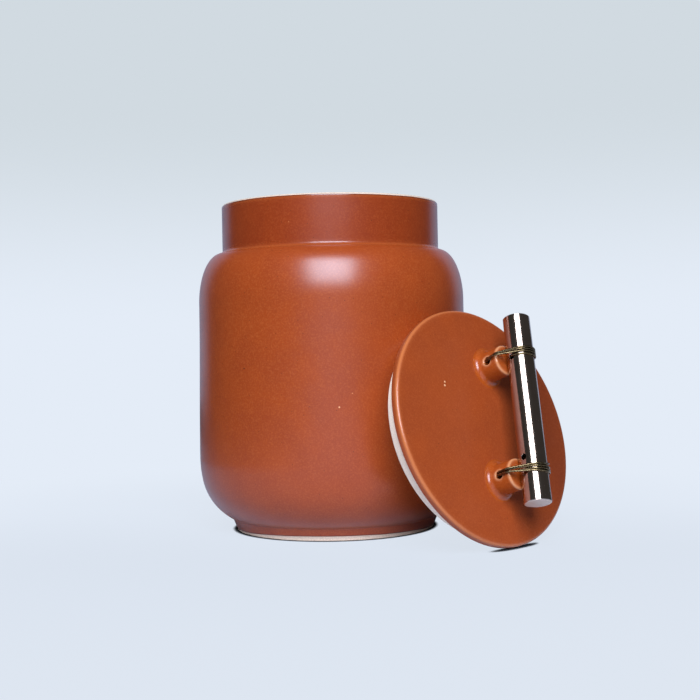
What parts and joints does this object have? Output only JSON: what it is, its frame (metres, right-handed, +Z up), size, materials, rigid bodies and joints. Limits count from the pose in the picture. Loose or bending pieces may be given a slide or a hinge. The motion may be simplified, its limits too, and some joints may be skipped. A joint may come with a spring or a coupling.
{
  "type": "lidded stoneware jar",
  "caption": "Straight-sided glazed stoneware storage jar with a low neck and a flat lid that leans beside it, a metal bar handle lashed to posts on the lid with brass wire.",
  "frame": {"origin": "centre of the jar's foot ring, on the table", "axes": "+Z up along the jar's axis; +X from the jar's axis towards the leaning lid; +Y square to both"},
  "size_m": [0.209, 0.142, 0.1706],
  "materials": {
    "jar_glaze": "satin iron-red glaze",
    "lid_glaze": "satin iron-red glaze",
    "post_glaze": "satin iron-red glaze",
    "bar_metal": "polished pale brass rod",
    "lashing_brass": "dull aged brass wire"
  },
  "bodies": {
    "jar": {"jar_body": "jar_glaze"},
    "lid": {"lid": "lid_glaze", "handle_post_upper": "post_glaze", "handle_post_lower": "post_glaze", "handle_bar": "bar_metal", "lashing_wire_upper": "lashing_brass", "lashing_wire_lower": "lashing_brass"}
  },
  "joints": [
    {"name": "lid_lift", "type": "slide", "parent": "jar", "child": "lid", "axis": [0, 0, 1], "range_m": [0, 0.18]}
  ]
}
